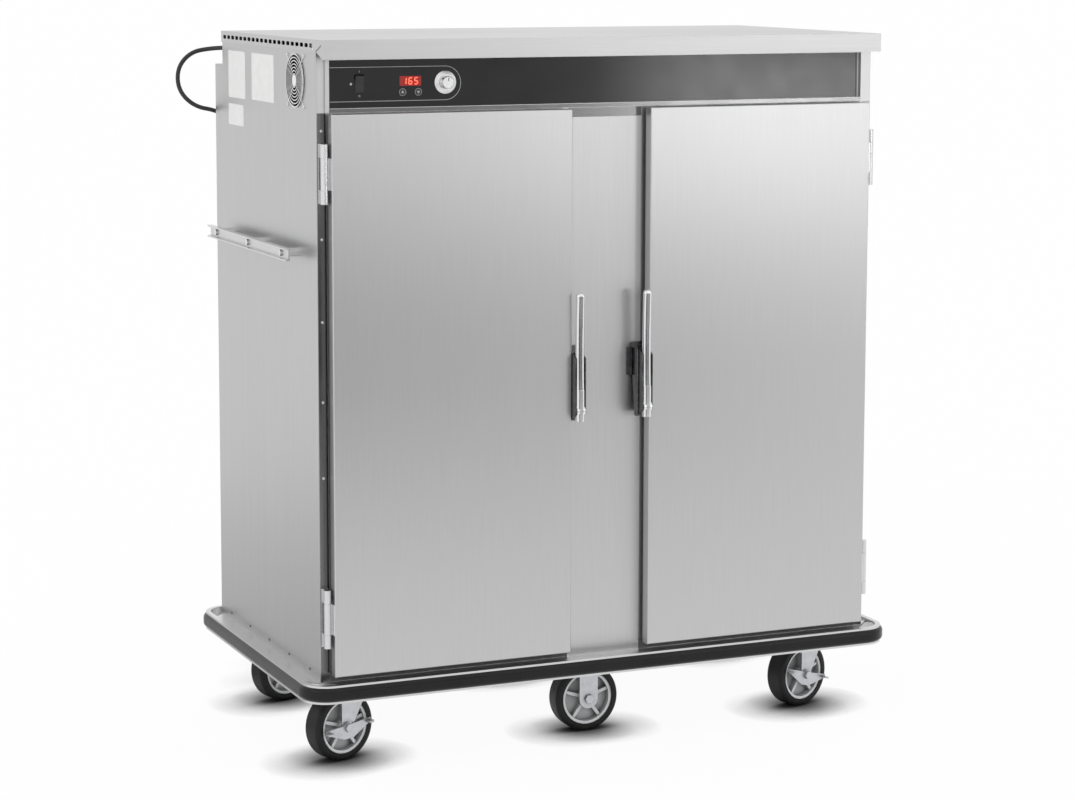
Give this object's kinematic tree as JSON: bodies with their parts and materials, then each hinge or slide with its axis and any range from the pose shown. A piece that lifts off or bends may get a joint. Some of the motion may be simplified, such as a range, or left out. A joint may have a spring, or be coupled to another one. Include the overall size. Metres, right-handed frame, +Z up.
{
  "type": "heated banquet cabinet",
  "caption": "Tall stainless holding cabinet on casters, with overlay doors on lever latches, a control panel, a side fan, a push rail and a wrap-round bumper.",
  "frame": {"origin": "on the floor, under the middle of the bumper's rectangle", "axes": "X along the front to the viewer's right, Y from the doors to the back, Z up"},
  "size_m": [1.433, 0.9776, 1.544],
  "materials": {
    "stainless": "satin sheet",
    "liner_steel": "plain sheet",
    "insulation": "mineral wool batt",
    "bumper_vinyl": "semi-matt",
    "chrome": "polished",
    "heater_steel": "heat-tinted",
    "gasket_rubber": "matt",
    "fascia_black": "gloss overlay",
    "black_plastic": "satin",
    "knob_aluminium": "turned",
    "fan_housing": "satin",
    "zinc_steel": "bright zinc",
    "cord_rubber": "matt",
    "hub_grey": "moulded",
    "tyre": "smooth"
  },
  "bodies": {
    "cabinet": {"base_deck": "stainless", "bumper_channel": "stainless", "bumper_strip": "bumper_vinyl", "side_panel_left": "stainless", "side_panel_right": "stainless", "back_panel": "stainless", "inner_liner": "liner_steel", "wall_insulation": "insulation", "front_frame": "stainless", "top_cap": "stainless", "control_fascia": "fascia_black", "push_handle": "stainless", "handle_spacers": "chrome", "frame_hinges": "chrome", "latch_strikes": "stainless", "wire_shelves": "chrome", "heater_element": "heater_steel", "cord_gland": "black_plastic", "power_cord": "cord_rubber", "cord_coil": "cord_rubber", "power_plug": "cord_rubber", "fan_guard": "chrome", "fan_frame": "fan_housing", "swivel_plates": "zinc_steel", "rigid_forks": "zinc_steel"},
    "left_door": {"door_left_skin": "stainless", "door_left_inner_pan": "liner_steel", "door_left_gasket": "gasket_rubber", "door_left_hinge_leaves": "chrome", "door_left_latch_body": "chrome"},
    "left_lever": {"door_left_latch_lever": "chrome"},
    "right_door": {"door_right_skin": "stainless", "door_right_inner_pan": "liner_steel", "door_right_gasket": "gasket_rubber", "door_right_hinge_leaves": "chrome", "door_right_latch_body": "chrome"},
    "right_lever": {"door_right_latch_lever": "chrome"},
    "fork_front_left": {"fork_front_left": "zinc_steel"},
    "wheel_front_left": {"hub_front_left": "hub_grey", "tyre_front_left": "tyre"},
    "pedal_front_left": {"brake_front_left": "zinc_steel"},
    "fork_front_right": {"fork_front_right": "zinc_steel"},
    "wheel_front_right": {"hub_front_right": "hub_grey", "tyre_front_right": "tyre"},
    "pedal_front_right": {"brake_front_right": "zinc_steel"},
    "fork_back_left": {"fork_back_left": "zinc_steel"},
    "wheel_back_left": {"hub_back_left": "hub_grey", "tyre_back_left": "tyre"},
    "fork_back_right": {"fork_back_right": "zinc_steel"},
    "wheel_back_right": {"hub_back_right": "hub_grey", "tyre_back_right": "tyre"},
    "wheel_front_middle": {"hub_front_middle": "hub_grey", "tyre_front_middle": "tyre"},
    "wheel_back_middle": {"hub_back_middle": "hub_grey", "tyre_back_middle": "tyre"},
    "knob": {"thermostat_knob": "knob_aluminium"},
    "rocker": {"rocker_switch": "black_plastic"},
    "up_key": {"key_up": "black_plastic"},
    "down_key": {"key_down": "black_plastic"},
    "rotor": {"fan_rotor": "black_plastic"}
  },
  "joints": [
    {"name": "left_door_hinge", "type": "hinge", "parent": "cabinet", "child": "left_door", "pos_m": [-0.6425, -0.3585, 0.803], "axis": [0, 0, -1], "range_deg": [0, 180]},
    {"name": "left_lever_pivot", "type": "hinge", "parent": "left_door", "child": "left_lever", "pos_m": [-0.0792, -0.388, 0.746], "axis": [1, 0, 0], "range_deg": [0, 30]},
    {"name": "right_door_hinge", "type": "hinge", "parent": "cabinet", "child": "right_door", "pos_m": [0.6425, -0.3585, 0.803], "axis": [0, 0, 1], "range_deg": [0, 180]},
    {"name": "right_lever_pivot", "type": "hinge", "parent": "right_door", "child": "right_lever", "pos_m": [0.0792, -0.388, 0.746], "axis": [1, 0, 0], "range_deg": [0, 30]},
    {"name": "front_left_swivel", "type": "hinge", "parent": "cabinet", "child": "fork_front_left", "pos_m": [-0.5585, -0.239, 0.16], "axis": [0, 0, 1], "continuous": true},
    {"name": "front_left_roll", "type": "hinge", "parent": "fork_front_left", "child": "wheel_front_left", "pos_m": [-0.57954, -0.24543, 0.075], "axis": [-0.2924, 0.9563, 0], "continuous": true},
    {"name": "front_left_pedal", "type": "hinge", "parent": "fork_front_left", "child": "pedal_front_left", "pos_m": [-0.57954, -0.24543, 0.075], "axis": [-0.2924, 0.9563, 0], "range_deg": [0, 18]},
    {"name": "front_right_swivel", "type": "hinge", "parent": "cabinet", "child": "fork_front_right", "pos_m": [0.5585, -0.239, 0.16], "axis": [0, 0, 1], "continuous": true},
    {"name": "front_right_roll", "type": "hinge", "parent": "fork_front_right", "child": "wheel_front_right", "pos_m": [0.53746, -0.24543, 0.075], "axis": [-0.2924, 0.9563, 0], "continuous": true},
    {"name": "front_right_pedal", "type": "hinge", "parent": "fork_front_right", "child": "pedal_front_right", "pos_m": [0.53746, -0.24543, 0.075], "axis": [-0.2924, 0.9563, 0], "range_deg": [-18, 0]},
    {"name": "back_left_swivel", "type": "hinge", "parent": "cabinet", "child": "fork_back_left", "pos_m": [-0.5585, 0.256, 0.16], "axis": [0, 0, 1], "continuous": true},
    {"name": "back_left_roll", "type": "hinge", "parent": "fork_back_left", "child": "wheel_back_left", "pos_m": [-0.53746, 0.26243, 0.075], "axis": [0.2924, -0.9563, 0], "continuous": true},
    {"name": "back_right_swivel", "type": "hinge", "parent": "cabinet", "child": "fork_back_right", "pos_m": [0.5585, 0.256, 0.16], "axis": [0, 0, 1], "continuous": true},
    {"name": "back_right_roll", "type": "hinge", "parent": "fork_back_right", "child": "wheel_back_right", "pos_m": [0.57954, 0.26243, 0.075], "axis": [0.2924, -0.9563, 0], "continuous": true},
    {"name": "front_middle_roll", "type": "hinge", "parent": "cabinet", "child": "wheel_front_middle", "pos_m": [0, -0.239, 0.075], "axis": [0, 1, 0], "continuous": true},
    {"name": "back_middle_roll", "type": "hinge", "parent": "cabinet", "child": "wheel_back_middle", "pos_m": [0, 0.256, 0.075], "axis": [0, 1, 0], "continuous": true},
    {"name": "knob_turn", "type": "hinge", "parent": "cabinet", "child": "knob", "pos_m": [-0.3695, -0.339, 1.4525], "axis": [0, 1, 0], "range_deg": [0, 300]},
    {"name": "rocker_tip", "type": "hinge", "parent": "cabinet", "child": "rocker", "pos_m": [-0.5595, -0.339, 1.4525], "axis": [1, 0, 0], "range_deg": [-20, 0]},
    {"name": "up_key_press", "type": "slide", "parent": "cabinet", "child": "up_key", "axis": [0, 1, 0], "range_m": [0, 0.001], "stiffness_N_per_m": 600},
    {"name": "down_key_press", "type": "slide", "parent": "cabinet", "child": "down_key", "axis": [0, 1, 0], "range_m": [0, 0.001], "stiffness_N_per_m": 600},
    {"name": "fan_spin", "type": "hinge", "parent": "cabinet", "child": "rotor", "pos_m": [-0.6355, -0.212, 1.455], "axis": [1, 0, 0], "continuous": true}
  ]
}
